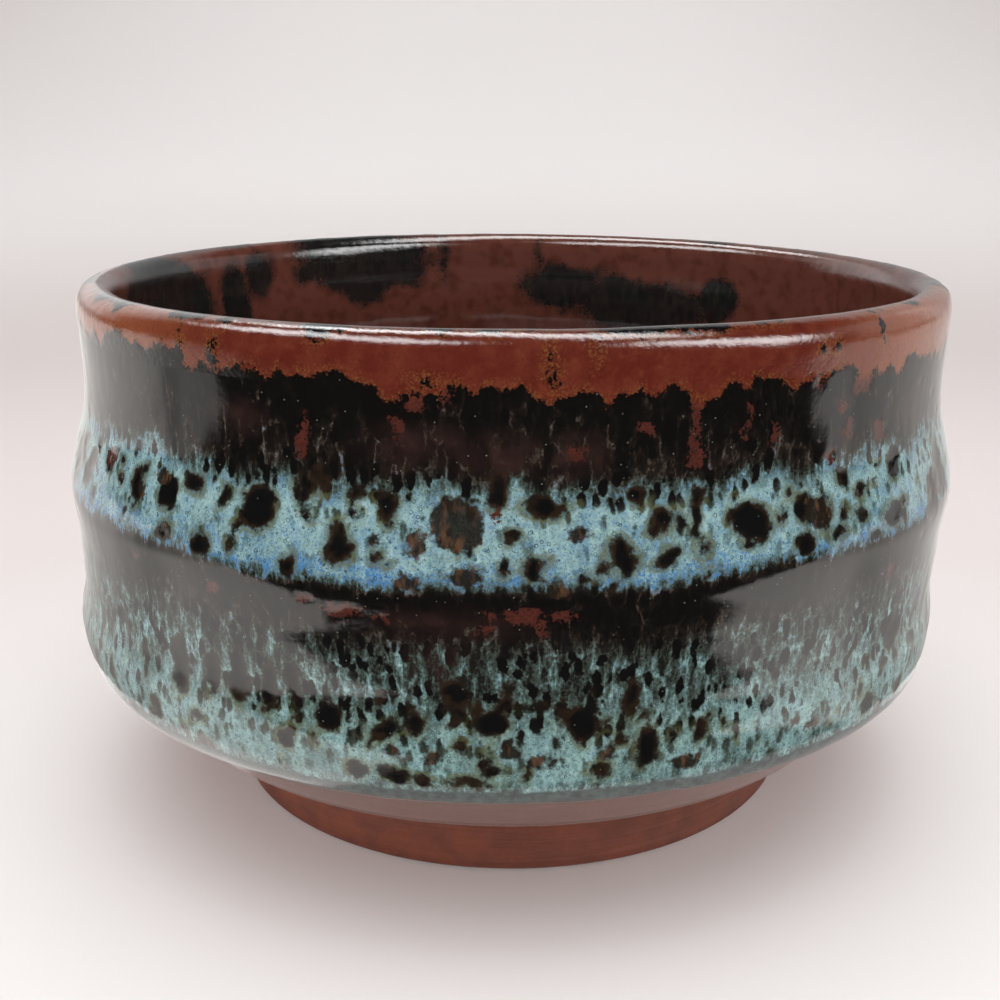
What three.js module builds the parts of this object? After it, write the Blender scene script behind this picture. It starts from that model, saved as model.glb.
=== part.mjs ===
// Matcha bowl: a thrown half-cylinder tea bowl with a soft belly, a turned shoulder and a foot ring.
// Millimetres, +Z up. The origin is the middle of the face that the bowl stands on.
// The fired clay is two pieces, and four coats of glaze lie on it as thin shells.

import * as THREE from "three";

// Turning
const FACETS = 48;

// Foot ring
const FOOT_OUTER_RADIUS = 40.6;
const FOOT_INNER_RADIUS = 34.4;
const FOOT_HEIGHT = 7;
const FOOT_FLARE = 0.9;
const FOOT_INNER_TAPER = 0.9;
const FOOT_EDGE = 0.5;

// Underside of the bowl, inside and outside the foot ring
const RECESS_DOME = 0.7;
const SHOULDER_DROP = 0.8;
const SHOULDER_SETBACK = 0.7;

// Lip
const LIP_RADIUS = 1.9;
const LIP_MIDDLE = [57.35, 69.85];
const LIP_ARC_STEPS = 4;

// Coats of glaze
const BASE_COAT = 0.3;
const OUTER_COAT_AT_FOOT = 1.1;
const OUTER_COAT_AT_LIP = 0.6;
const LIP_COAT = 0.6;
const INNER_COAT = 0.6;

// The clay's outside, from the ridge over the foot up to where the lip's coat begins, as [radius, height].
const OUTSIDE = [
  [48.8, 11.4],
  [52.6, 15],
  [57.6, 20],
  [59.3, 22.4],
  [60, 26.5],
  [59.7, 31.5],
  [60.3, 39],
  [61.2, 46],
  [60.2, 51.2],
  [59.2, 55.5],
  [58.9, 60],
  [59.1, 66.4],
];

// The clay's inside, from where the lip's coat ends down to the middle of the floor.
const INSIDE = [
  [55.3, 66.4],
  [54.9, 60],
  [55.9, 47],
  [55.2, 34],
  [53.2, 26],
  [47.5, 19],
  [38, 15],
  [20, 13],
  [0, 12.4],
];

// Places along the wall, counted in its points
const RIDGE = 0;
const GLAZE_LINE = 2;
const LIP_START = OUTSIDE.length - 1;
const LIP_END = LIP_START + LIP_ARC_STEPS + 2;
const FLOOR_MIDDLE = LIP_END + INSIDE.length - 1;

const COLOURS = {
  clay: { color: 0x7a4632, roughness: 0.85 },
  baseGlaze: { color: 0x9a6f63, roughness: 0.3 },
  outerGlaze: { color: 0x3d5250, roughness: 0.12 },
  kakiGlaze: { color: 0x6b3224, roughness: 0.12 },
  liner: { color: 0x4c2a22, roughness: 0.15 },
};

// The points of the lip's round top, from its outer face over the crest to its inner face.
function lipArc() {
  const points = [];
  for (let step = 0; step <= LIP_ARC_STEPS; step++) {
    const angle = (Math.PI * step) / LIP_ARC_STEPS;
    const radius = LIP_MIDDLE[0] + LIP_RADIUS * Math.cos(angle);
    points.push([radius, LIP_MIDDLE[1] + LIP_RADIUS * Math.sin(angle)]);
  }
  return points;
}

// The clay surface from the ridge over the lip to the middle of the floor: a point and an outward normal at each place.
function wallPlaces() {
  const keys = [...OUTSIDE, ...lipArc(), ...INSIDE];
  const points = keys.map(([radius, height]) => new THREE.Vector3(radius, height, 0));
  const line = new THREE.CatmullRomCurve3(points, false, "centripetal");
  return points.map((point, place) => {
    const along = line.getTangent(place / (points.length - 1));
    const onAxis = point.x === 0;
    const normal = onAxis ? new THREE.Vector2(0, 1) : new THREE.Vector2(along.y, -along.x);
    return { point: new THREE.Vector2(point.x, point.y), normal };
  });
}

const WALL = wallPlaces();

// The wall's points from one place to another, lifted off the clay by a thickness that runs evenly between two values.
function wallLine(first, last, liftAtFirst = 0, liftAtLast = liftAtFirst) {
  const line = [];
  for (let place = first; place <= last; place++) {
    const share = (place - first) / (last - first);
    const lift = THREE.MathUtils.lerp(liftAtFirst, liftAtLast, share);
    line.push(WALL[place].point.clone().addScaledVector(WALL[place].normal, lift));
  }
  return line;
}

// A solid turned about +Z from an outline whose material lies to the left of its direction of travel.
function turned(name, outline, look) {
  const geometry = new THREE.LatheGeometry(outline, FACETS);
  geometry.rotateX(Math.PI / 2);
  const material = new THREE.MeshStandardMaterial({ metalness: 0, ...look });
  const mesh = new THREE.Mesh(geometry, material);
  mesh.name = name;
  return mesh;
}

function closed(outline) {
  return [...outline, outline[0].clone()];
}

// A shell between two lines that run the same way along the wall.
function coat(name, under, over, look) {
  return turned(name, closed([...over, ...under.reverse()]), look);
}

function footRing() {
  const outline = [
    new THREE.Vector2(FOOT_INNER_RADIUS + FOOT_EDGE, 0),
    new THREE.Vector2(FOOT_OUTER_RADIUS - FOOT_EDGE, 0),
    new THREE.Vector2(FOOT_OUTER_RADIUS, FOOT_EDGE),
    new THREE.Vector2(FOOT_OUTER_RADIUS + FOOT_FLARE, FOOT_HEIGHT),
    new THREE.Vector2(FOOT_INNER_RADIUS - FOOT_INNER_TAPER, FOOT_HEIGHT),
    new THREE.Vector2(FOOT_INNER_RADIUS, FOOT_EDGE),
  ];
  return turned("foot_ring", closed(outline), COLOURS.clay);
}

function clayBowl() {
  const [ridgeRadius, ridgeHeight] = OUTSIDE[RIDGE];
  const underside = [
    new THREE.Vector2(0, FOOT_HEIGHT + RECESS_DOME),
    new THREE.Vector2(FOOT_INNER_RADIUS - FOOT_INNER_TAPER, FOOT_HEIGHT),
    new THREE.Vector2(FOOT_OUTER_RADIUS + FOOT_FLARE, FOOT_HEIGHT),
    new THREE.Vector2(ridgeRadius - SHOULDER_SETBACK, ridgeHeight - SHOULDER_DROP),
  ];
  return turned("clay_bowl", [...underside, ...wallLine(RIDGE, FLOOR_MIDDLE)], COLOURS.clay);
}

function baseGlaze() {
  const under = wallLine(RIDGE, LIP_START);
  return coat("base_glaze", under, wallLine(RIDGE, LIP_START, BASE_COAT), COLOURS.baseGlaze);
}

function outerGlaze() {
  const under = wallLine(GLAZE_LINE, LIP_START, BASE_COAT);
  const over = wallLine(GLAZE_LINE, LIP_START, OUTER_COAT_AT_FOOT, OUTER_COAT_AT_LIP);
  return coat("outer_glaze", under, over, COLOURS.outerGlaze);
}

function lipGlaze() {
  const under = wallLine(LIP_START, LIP_END);
  return coat("lip_glaze", under, wallLine(LIP_START, LIP_END, LIP_COAT), COLOURS.kakiGlaze);
}

function innerGlaze() {
  const over = wallLine(LIP_END, FLOOR_MIDDLE, INNER_COAT);
  const under = wallLine(LIP_END, FLOOR_MIDDLE);
  return turned("inner_glaze", [...under.reverse(), ...over], COLOURS.liner);
}

const bowl = new THREE.Group();
bowl.add(clayBowl(), footRing(), baseGlaze(), outerGlaze(), lipGlaze(), innerGlaze());

export default bowl;
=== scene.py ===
"""The looks of a matcha bowl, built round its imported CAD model: fine turned shells, glaze and light."""

import math

import bpy
import numpy as np
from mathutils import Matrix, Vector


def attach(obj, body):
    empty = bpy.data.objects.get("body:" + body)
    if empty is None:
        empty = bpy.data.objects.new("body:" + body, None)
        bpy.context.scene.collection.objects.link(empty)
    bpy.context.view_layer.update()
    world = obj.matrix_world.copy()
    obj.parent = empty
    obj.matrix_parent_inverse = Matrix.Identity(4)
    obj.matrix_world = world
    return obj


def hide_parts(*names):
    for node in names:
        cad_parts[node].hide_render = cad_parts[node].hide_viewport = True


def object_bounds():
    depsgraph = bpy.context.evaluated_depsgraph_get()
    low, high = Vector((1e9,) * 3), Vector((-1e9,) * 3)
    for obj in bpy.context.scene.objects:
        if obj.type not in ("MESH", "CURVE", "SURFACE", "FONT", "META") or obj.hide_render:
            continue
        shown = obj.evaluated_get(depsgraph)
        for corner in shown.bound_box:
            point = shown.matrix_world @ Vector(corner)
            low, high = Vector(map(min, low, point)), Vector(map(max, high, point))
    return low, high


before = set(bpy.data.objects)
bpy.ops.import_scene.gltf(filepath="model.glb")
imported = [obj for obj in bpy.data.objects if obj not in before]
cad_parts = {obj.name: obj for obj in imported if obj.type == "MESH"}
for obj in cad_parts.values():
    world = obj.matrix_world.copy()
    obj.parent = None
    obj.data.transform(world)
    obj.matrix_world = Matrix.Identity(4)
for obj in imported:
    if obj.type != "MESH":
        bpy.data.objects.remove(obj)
cad_low, cad_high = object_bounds()

MM = 0.001

# Fineness of the meshes: points round the bowl, then millimetres between rows.
COLUMNS = 640
BACK_ROWS = 24
SHOWN_BASE_ROWS = 44
HIDDEN_BASE_ROWS = 40
OUTER_SPACING = 0.5
LIP_SPACING = 0.42
INNER_SPACING = 0.85
CLAY_SPACING = 1.5
FOOT_SPACING = 0.4

# ------------------------------
# Shape, in millimetres as [radius, height], the same line of clay as the CAD model's.

OUTSIDE = [
    (48.8, 11.4), (52.6, 15.0), (57.6, 20.0), (59.3, 22.4), (60.0, 26.5), (59.7, 31.5),
    (60.3, 39.0), (61.2, 46.0), (60.2, 51.2), (59.2, 55.5), (58.9, 60.0), (59.1, 66.4),
]
INSIDE = [
    (55.3, 66.4), (54.9, 60.0), (55.9, 47.0), (55.2, 34.0), (53.2, 26.0), (47.5, 19.0),
    (38.0, 15.0), (20.0, 13.0), (0.0, 12.4),
]
LIP_MIDDLE = (57.35, 69.85)
LIP_RADIUS = 1.9
LIP_STEPS = 4
GLAZE_LINE = 2
LIP_START = len(OUTSIDE) - 1
LIP_END = LIP_START + LIP_STEPS + 2
BASE_COAT = 0.3
OUTER_COAT = 0.8
LIP_COAT = 0.6
BASE_SINK = 0.15
POLE_GAP = 0.6

FOOT_HEIGHT = 7.0
FOOT_OUTER = 40.6
FOOT_INNER = 34.4
FOOT_FLARE = 0.9
FOOT_TAPER = 0.9

# Relief of the glaze: its rolled lower edge, the dents of its spots and the potter's rings.
ROLL_WIDTH = 1.1
ROLL_BEAD = 0.22
DARK_DENT = 0.07
BROWN_DENT = 0.05
RED_DENT = 0.05
GLASS_BEAD_HEIGHT = 0.35
RING_PITCH = 3.3
FINE_RING_PITCH = 1.45

# The camera, in millimetres from the bowl's axis and above its lip, and in degrees.
CAMERA_ASIDE = -1.41
CAMERA_AWAY = 190.0
CAMERA_ABOVE_LIP = 20.9
CAMERA_TILT = 16.31
CAMERA_ROLL = 0.16
FOCAL_LENGTH = 47.69

# The studio, in metres, with brightness as radiance.
WORLD_STRENGTH = 1.40
WINDOW_RADIANCE = 9
TABLE_SHEEN_HEIGHT = 0.0004
NEAR_FLOOR = 0.08
SWEEP_WALL = 3.2
SWEEP_BEND = 2.7
BOWL_MIDDLE = (0, 0, 0.06)
BOWL_FOOT = (0, 0, 0.02)

# ------------------------------
# Marks in the glaze. Each is azimuth in degrees from the front (-Y) towards +X, height, half width and
# half height.

DARK_SPOTS = [
    (-27, 52.4, 2.4, 2.3), (-40, 52.2, 1.7, 2), (-36, 53.5, 1, 1.2), (-32, 53.2, 0.6, 1),
    (-22, 55.2, 0.9, 1.6), (-20, 56.2, 0.6, 1.1), (-21, 52.8, 0.7, 0.5), (-18, 50.3, 1, 1.6),
    (-17, 49.2, 0.9, 1.2), (-34, 47.7, 1.3, 1.2), (-30, 48.3, 0.5, 0.6), (-40, 47.5, 1.1, 1),
    (-46, 51.4, 1, 1.6), (-16, 55.4, 0.7, 0.9), (-13, 54.2, 1, 1.7), (-23, 47.2, 0.8, 1.1),
    (-1, 48.3, 0.6, 0.8), (2, 48.1, 1.1, 1), (0, 51.3, 0.6, 0.6), (10, 49.6, 1.7, 1.3),
    (11, 48.7, 1, 1.2), (14, 52.4, 1.1, 0.9), (15, 49, 1, 1), (3, 54.2, 2, 0.9),
    (12, 55.2, 1, 0.9), (-2, 56.2, 1, 2), (18, 53.1, 0.6, 2.6), (24, 51.6, 2.4, 2),
    (31, 52.2, 1.2, 1.3), (34, 51, 0.8, 1.5), (37, 50.1, 0.6, 0.8), (40, 49.5, 1, 0.6),
    (46, 48.8, 1.9, 1.2), (47, 54, 1.4, 1.9), (57, 48.8, 1.5, 1.6), (40, 52.4, 0.9, 0.8),
    (31, 48.4, 1.2, 1.1), (36, 47.9, 0.9, 0.6), (42, 46.8, 0.7, 0.5), (37, 53.9, 0.9, 1),
    (-39, 31.8, 1.5, 3.2), (-34, 31.9, 0.9, 2.3), (-30, 33, 1.4, 3.4), (-26, 32.2, 1, 2.6),
    (-23, 33.1, 0.9, 2.4), (-19, 30, 1.6, 1.5), (-24, 26.7, 0.9, 1), (-16, 24.3, 1.1, 0.8),
    (-12, 24.1, 1.6, 0.7), (-13, 29.4, 0.8, 0.8), (-36, 26.1, 0.8, 0.7), (-44, 25.1, 1, 0.9),
    (-2, 30.6, 1.7, 1.9), (-1, 33, 0.6, 1.9), (-4, 32.4, 0.5, 1.5), (7, 30.2, 1.7, 1.9),
    (8, 32.6, 0.5, 1.8), (5, 32.6, 0.4, 1.2), (2, 32.5, 1, 0.5), (-6, 33.9, 1, 2),
    (-10, 30.4, 1, 1.4), (-9, 23.7, 0.6, 0.6), (-4, 23.7, 1.7, 0.5), (-2, 25.6, 1, 0.5),
    (9, 25.3, 1.1, 0.6), (14, 27, 1, 1.6), (12, 33, 0.8, 2.1), (20, 27.9, 0.7, 1),
]
BROWN_SPOTS = [
    (-6, 52.7, 2.7, 2.2), (-5, 47.7, 1.7, 1), (6, 51.3, 1.1, 0.8), (-10, 46.6, 1, 0.6),
    (4, 46, 1, 0.5), (-10, 50.2, 0.8, 1.3), (-14, 50.4, 0.6, 0.6), (-12, 26.8, 0.5, 0.6),
    (-8, 26.6, 0.5, 0.6), (0, 27.4, 0.8, 0.5), (3, 25.6, 0.8, 0.6), (10, 27.1, 0.6, 0.9),
    (18, 24.9, 1.5, 0.8), (-36, 22.9, 1.3, 0.8), (-48, 22.6, 1.8, 0.8),
]
GLAZE_BEADS = [(-14, 50.6, 0.6, 0.6), (-10, 50.9, 0.6, 0.6)]
RED_PATCHES = [
    (-53, 53.5, 1.2, 1.5), (-22, 60.1, 0.9, 1.7), (-22, 61.6, 0.4, 0.9), (-2, 53.4, 0.4, 0.8),
    (6, 60.1, 0.5, 0.8), (-12, 62.4, 0.5, 1.3), (-10, 65.2, 1, 1), (-7, 65.4, 0.5, 0.9),
    (13, 62.4, 0.6, 0.6), (18, 65.4, 0.9, 1.8), (18, 63, 0.6, 1.5), (17.6, 60.6, 0.5, 1.2),
    (18.2, 58.6, 0.8, 1.5), (24, 63.3, 0.4, 0.9), (23, 61.2, 0.5, 0.9), (27, 60.6, 0.7, 0.9),
    (40, 64.8, 1.7, 1.4), (37, 62.2, 1, 1), (38, 59.5, 0.8, 1.2), (44, 58.5, 0.9, 1),
    (35, 57.1, 0.6, 0.6), (33, 65.4, 0.9, 0.7), (0.8, 43.4, 1.6, 0.9), (-2.6, 43.5, 0.9, 0.6),
    (2.4, 42.2, 0.6, 1.1), (-3, 41.9, 0.6, 0.4), (5, 43.1, 0.9, 0.6), (-17, 43, 2.4, 0.9),
    (-21, 43.4, 1, 0.6), (-13, 42.8, 0.9, 0.4), (47, 41.5, 1.2, 0.7), (-33, 43, 1, 0.6),
]
LIP_DRIPS = [
    (3, 69.6, 0.35, 0.9), (3.2, 67.9, 0.6, 1), (7.5, 71, 0.25, 0.5), (-33, 67.8, 0.7, 2.2),
    (-38, 68.3, 0.6, 1.7), (33, 69.3, 0.5, 0.5), (35, 69.2, 0.4, 0.5), (43, 70.4, 0.5, 0.9),
    (-48, 67.5, 1.2, 1.3), (-28, 66.8, 0.9, 1), (-9, 67.3, 0.8, 0.4),
]
WARM_PATCHES = [
    (-10, 60.5, 5, 1.8), (-2, 59.5, 4, 2.2), (6, 60, 2.5, 2), (-30, 62.5, 3, 1.5),
    (-6, 42, 6, 1.5), (-8, 37.5, 3, 2), (52, 60, 4, 2), (120, 60, 7, 2),
    (-120, 60.5, 6, 2), (175, 60, 5, 2),
]
INNER_BLACK = [
    (-151, 70, 13.5, 4), (-150, 66.5, 10, 4.5), (-151, 63, 4, 2.8), (-160, 66.5, 4, 2.5),
    (-141, 66.5, 4, 2.5), (-167, 69, 0.9, 3.5), (-101, 64, 16, 9), (-123, 63.5, 3.4, 6.5),
    (-129, 68, 3, 3.5), (170, 63.2, 8, 3.8), (154, 59.5, 13, 5), (139, 62, 4, 4.5),
    (175, 68, 0.8, 3.5), (100, 50, 8, 9), (20, 55, 10, 8), (60, 62, 7, 4),
    (-60, 58, 9, 7), (-20, 40, 7, 6), (-150, 42, 6, 9),
]


# ------------------------------
# Lines and noise


def between(t, first, second, start, stop):
    """The point at t on a straight line from first, at start, to second, at stop."""
    return (stop - t) / (stop - start) * first + (t - start) / (stop - start) * second


def smooth_line(keys, per_span=40):
    """A centripetal Catmull-Rom line through the keys, with the index of each key in it."""
    keys = np.array(keys, float)
    first, last = 2 * keys[0] - keys[1], 2 * keys[-1] - keys[-2]
    all_keys = np.vstack([first, keys, last])
    line = []
    for i in range(1, len(all_keys) - 2):
        a, b, c, d = all_keys[i - 1 : i + 3]
        ta = 0.0
        tb = ta + math.sqrt(np.linalg.norm(b - a))
        tc = tb + math.sqrt(np.linalg.norm(c - b))
        td = tc + math.sqrt(np.linalg.norm(d - c))
        t = np.linspace(tb, tc, per_span, endpoint=False)[:, None]
        ab, bc, cd = between(t, a, b, ta, tb), between(t, b, c, tb, tc), between(t, c, d, tc, td)
        abc, bcd = between(t, ab, bc, ta, tc), between(t, bc, cd, tb, td)
        line.append(between(t, abc, bcd, tb, tc))
    line.append(keys[-1][None])
    return np.vstack(line), np.arange(len(keys)) * per_span


class Wall:
    """The clay line from the ridge over the lip to the middle of the floor, by length along it."""

    def __init__(self):
        angles = np.pi * np.arange(LIP_STEPS + 1) / LIP_STEPS
        arc = [
            (LIP_MIDDLE[0] + LIP_RADIUS * math.cos(a), LIP_MIDDLE[1] + LIP_RADIUS * math.sin(a))
            for a in angles
        ]
        self.line, keys = smooth_line(OUTSIDE + arc + INSIDE)
        steps = np.linalg.norm(np.diff(self.line, axis=0), axis=1)
        self.length = np.concatenate([[0.0], np.cumsum(steps)])
        self.at_key = self.length[keys]
        tangent = np.gradient(self.line, axis=0)
        tangent /= np.linalg.norm(tangent, axis=1)[:, None]
        self.normal = np.stack([tangent[:, 1], -tangent[:, 0]], 1)
        self.normal[-1] = (0.0, 1.0)

    def at(self, place):
        """Radius, height and the two parts of the outward normal at a length along the line."""
        columns = (*self.line.T, *self.normal.T)
        return [np.interp(place, self.length, column) for column in columns]


def noise(points, cell, seed):
    """Smooth random values from 0 to 1 on points (..., 3) in millimetres, one value per cell corner."""
    q = points / cell + 1000.0
    base = np.floor(q).astype(np.int64)
    f = q - base
    f = f * f * (3 - 2 * f)
    total = np.zeros(points.shape[:-1])
    for corner in range(8):
        step = np.array([corner & 1, corner >> 1 & 1, corner >> 2 & 1])
        c = base + step
        h = c[..., 0] * 73856093 ^ c[..., 1] * 19349663 ^ c[..., 2] * 83492791 ^ seed * 2654435761
        h = (h ^ (h >> 13)) * 1274126177 & 0x7FFFFFFF
        h = (h ^ (h >> 16)) & 0xFFFF
        weight = np.prod(np.where(step == 1, f, 1 - f), axis=-1)
        total += weight * h / 0xFFFF
    return total


def layered_noise(points, cell, seed, layers=3):
    """Noise round 0 with finer and weaker layers on top, each half the size and strength of the last."""
    total, size, share = 0.0, cell, 1.0
    for layer in range(layers):
        total = total + share * (noise(points, size, seed + layer) - 0.5)
        size, share = size / 2, share / 2
    return total


def smooth(low, high, value):
    """An even rise from 0 at low to 1 at high, or a fall where low is the larger."""
    t = np.clip((value - low) / (high - low), 0, 1)
    return t * t * (3 - 2 * t)


def along_height(height, keys):
    """Values at heights, read off a line through (height, value) keys."""
    heights, values = zip(*keys)
    return np.interp(height, heights, values)


AZIMUTH = np.linspace(-math.pi, math.pi, COLUMNS, endpoint=False)
WALL = Wall()


def round_points(radius, height, azimuth):
    """Points in millimetres at a radius and height, turned by an azimuth from the front."""
    parts = np.broadcast_arrays(radius * np.sin(azimuth), -radius * np.cos(azimuth), height)
    return np.stack(parts, -1)


def hand_made(points):
    """The thrown bowl's slight lean and out-of-round shape, the same for every piece."""
    x, y, z = points[..., 0], points[..., 1], points[..., 2]
    azimuth = np.arctan2(x, -y)
    share = smooth(8, 60, z)
    oval = 1 + 0.0035 * share * np.cos(2 * azimuth + 0.6) + 0.0015 * share * np.cos(3 * azimuth - 1.0)
    lean = 0.9 * smooth(20, 70, z) - 0.45 * smooth(0, 25, z)
    belly = 0.55 * np.exp(-(((z - 27) / 5) ** 2)) * smooth(0.3, 1.0, -np.sin(azimuth))
    rise = smooth(50, 72, z) * (0.2 * np.cos(azimuth * 2 - 0.5) - 0.4 + 0.25 * np.cos(azimuth))
    tilt = -0.006 * x * smooth(20, 60, z)
    return np.stack([x * oval + lean - belly, y * oval, z + rise + tilt], -1)


# ------------------------------
# Fields over the glaze: one value for each point, from its azimuth and height


def distance_to(marks, azimuth, height, radius, far=4.0):
    """Millimetres to the nearest of the marks, negative inside one."""
    nearest = np.full(height.shape, far)
    for degrees, middle, half_width, half_height in marks:
        turn = np.angle(np.exp(1j * (azimuth - math.radians(degrees))))
        across = turn * radius / half_width
        along = (height - middle) / half_height
        reach = (np.sqrt(across**2 + along**2) - 1) * min(half_width, half_height)
        nearest = np.minimum(nearest, reach)
    return nearest


def scattered(seed, count, heights, sizes, stretch, keep_clear=0.0):
    """Marks at random places. They leave the front free, out to keep_clear degrees on each side."""
    pick = np.random.default_rng(seed)
    marks = []
    while len(marks) < count:
        degrees = pick.uniform(-180, 180)
        height = pick.uniform(*heights)
        size = sizes[0] + (sizes[1] - sizes[0]) * pick.random() ** 2.2
        tall = size * pick.uniform(*stretch)
        if abs(degrees) > keep_clear:
            marks.append((degrees, height, size, tall))
    return marks


MORE_DARK = (
    scattered(11, 95, (46.8, 56.5), (0.5, 2.6), (0.8, 1.3), keep_clear=50)
    + scattered(12, 120, (23.0, 35.0), (0.5, 1.8), (0.8, 2.2), keep_clear=44)
    + scattered(13, 150, (46.5, 55.5), (0.22, 0.5), (0.8, 1.6))
    + scattered(14, 200, (23.0, 34.0), (0.22, 0.5), (0.8, 1.8))
)
MORE_BROWN = (
    scattered(21, 40, (23.0, 29.0), (0.4, 1.2), (0.6, 1.2), keep_clear=30)
    + scattered(22, 30, (46.5, 54.0), (0.5, 2.4), (0.7, 1.1), keep_clear=30)
)
MORE_RED = (
    scattered(31, 60, (57.0, 66.0), (0.4, 1.2), (1.0, 2.2), keep_clear=48)
    + scattered(32, 24, (41.0, 44.5), (0.5, 2.0), (0.4, 0.7), keep_clear=40)
)


def milk_band(height, azimuth, points):
    """How much of the pale phase the glaze holds: near 0 in the black zones, near 1 in the belts."""
    levels = [
        (19.0, 0.60), (22.0, 0.70), (24.0, 0.86), (28.0, 0.86), (30.5, 0.78), (33.5, 0.69),
        (37.0, 0.60), (40.0, 0.50), (41.8, 0.34), (43.0, 0.20), (45.0, 0.18), (45.9, 0.60),
        (47.2, 0.93), (53.5, 0.96), (55.5, 0.74), (57.2, 0.46), (60.0, 0.34), (64.5, 0.28),
        (67.0, 0.10),
    ]
    upper = smooth(50, 54, height)
    drift = 1.1 * layered_noise(points * [1, 1, 0.3], 14.0, 41)
    fingers = 2.6 * layered_noise(points * [1, 1, 0.2], 3.4, 42) * upper
    side = 1.0 * smooth(0.6, 1.3, np.abs(azimuth))
    return along_height(height - drift - fingers - side * upper, levels)


def blue_share(height):
    """How blue the pale phase is: most at the upper belt's lower edge."""
    shares = [
        (22, 0.10), (30, 0.12), (36, 0.16), (44.5, 0.45), (46, 1.5), (48.5, 0.6), (52, 0.35), (57, 0.5),
    ]
    return along_height(height, shares)


def hole_share(height):
    """How strongly small dark cells break the pale phase."""
    shares = [
        (22, 0.1), (27, 0.35), (30, 0.8), (33, 1.0), (41, 1.0), (44, 0.8), (46, 0.2), (50, 0.25),
        (54, 0.5), (57, 1.0),
    ]
    return along_height(height, shares)


def red_reach(height, azimuth, points):
    """Millimetres into the red-brown lip glaze, negative below its ragged lower edge."""
    on_line = round_points(58.0, 66.0, azimuth)
    lobes = 2.6 * layered_noise(on_line, 2.2, 51, layers=2)
    lobes = lobes + 1.6 * layered_noise(on_line, 9.0, 52, layers=2)
    sides = 1.9 * smooth(0.45, 0.8, -azimuth) - 0.6 * smooth(0.5, 0.9, azimuth)
    edge = 66.6 + sides - lobes
    return height - edge


def glaze_fields(azimuth, height, radius, points, outside, from_edge, from_crest):
    """The named fields that the glaze materials read and the relief follows."""
    ragged = azimuth + 1.4 * layered_noise(points, 2.4, 43) / 60
    ragged_height = height + 1.4 * layered_noise(points, 2.4, 46)
    dark = distance_to(DARK_SPOTS + MORE_DARK, ragged, ragged_height, radius)
    brown = distance_to(BROWN_SPOTS + MORE_BROWN, ragged, ragged_height, radius)
    red = np.maximum(
        red_reach(height, azimuth, points),
        -distance_to(RED_PATCHES + MORE_RED, ragged, ragged_height, radius),
    )
    red = np.minimum(red, distance_to(LIP_DRIPS, azimuth, height, radius) + 0.05)
    wavy_height = ragged_height + 3 * layered_noise(points, 9.0, 48)
    from_black = distance_to(INNER_BLACK, ragged, wavy_height, radius, far=8.0)
    red = np.where(outside, red, np.minimum(from_black, 6.0))
    lip = np.where(outside, smooth(-1.2, 0.4, red_reach(height, azimuth, points)), 1.0)
    warm = smooth(1.5, -2.0, distance_to(WARM_PATCHES, ragged, ragged_height, radius))
    crest_line = round_points(57.0, 72.0, azimuth)
    crest = 0.5 - np.abs(from_crest + 0.4) + 3.2 * (layered_noise(crest_line, 5.0, 49) - 0.12)
    red = np.minimum(red, -crest)
    return {
        "milk": np.where(outside, milk_band(height, azimuth, points), 0.12),
        "dark": np.where(outside, dark, 4.0),
        "brown": np.where(outside, brown, 4.0),
        "red": red,
        "lip": lip,
        "inside": np.where(outside, 0.0, 1.0),
        # painted sheen: the lip glaze is lighter towards the sides of the bowl
        "painted_sheen": smooth(0.5, 0.95, np.abs(azimuth)),
        "blue": np.where(outside, blue_share(height), 0.0),
        "holes": np.where(outside, hole_share(height), 0.0),
        "warm": np.where(outside, warm, 0.0),
        "fringe": np.where(outside, smooth(3.4, 2.2, from_edge), 0.0),
    }


# ------------------------------
# Meshes


def grid_normals(points):
    """Unit normals of a grid whose columns run round the bowl."""
    round_step = np.roll(points, -1, 1) - np.roll(points, 1, 1)
    along_step = np.gradient(points, axis=0)
    normal = np.cross(round_step, along_step)
    length = np.linalg.norm(normal, axis=2, keepdims=True)
    return normal / np.maximum(length, 1e-12)


def new_piece(name, points, faces, normals, fields, material):
    """An object from points in millimetres, groups of faces, a normal and field values for each point."""
    mesh = bpy.data.meshes.new(name)
    mesh.from_pydata([], [], [])
    mesh.vertices.add(len(points))
    mesh.vertices.foreach_set("co", (points * MM).astype(np.float32).ravel())
    mesh.loops.add(sum(faces_of.size for faces_of in faces))
    mesh.loops.foreach_set("vertex_index", np.concatenate([f.ravel() for f in faces]).astype(np.int32))
    counts = np.concatenate([np.full(len(f), f.shape[1]) for f in faces])
    mesh.polygons.add(len(counts))
    starts = np.concatenate([[0], np.cumsum(counts)[:-1]])
    mesh.polygons.foreach_set("loop_start", starts.astype(np.int32))
    mesh.update(calc_edges=True)
    mesh.validate()
    mesh.polygons.foreach_set("use_smooth", np.ones(len(mesh.polygons), bool))
    for field, values in fields.items():
        layer = mesh.attributes.new(field, "FLOAT", "POINT")
        layer.data.foreach_set("value", values.astype(np.float32))
    mesh.normals_split_custom_set_from_vertices(normals.tolist())
    mesh.materials.append(material)
    piece = bpy.data.objects.new(name, mesh)
    bpy.context.scene.collection.objects.link(piece)
    return piece


def quads(first, second, flip=False):
    """Faces between two rows of vertex numbers that run round the bowl."""
    a, b = first, np.roll(first, -1)
    c, d = np.roll(second, -1), second
    order = (a, d, c, b) if flip else (a, b, c, d)
    return np.stack(order, 1)


def grid_faces(numbers, flip=False):
    """Faces between all the rows of a grid of vertex numbers."""
    return np.concatenate([quads(numbers[i], numbers[i + 1], flip) for i in range(len(numbers) - 1)])


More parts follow.
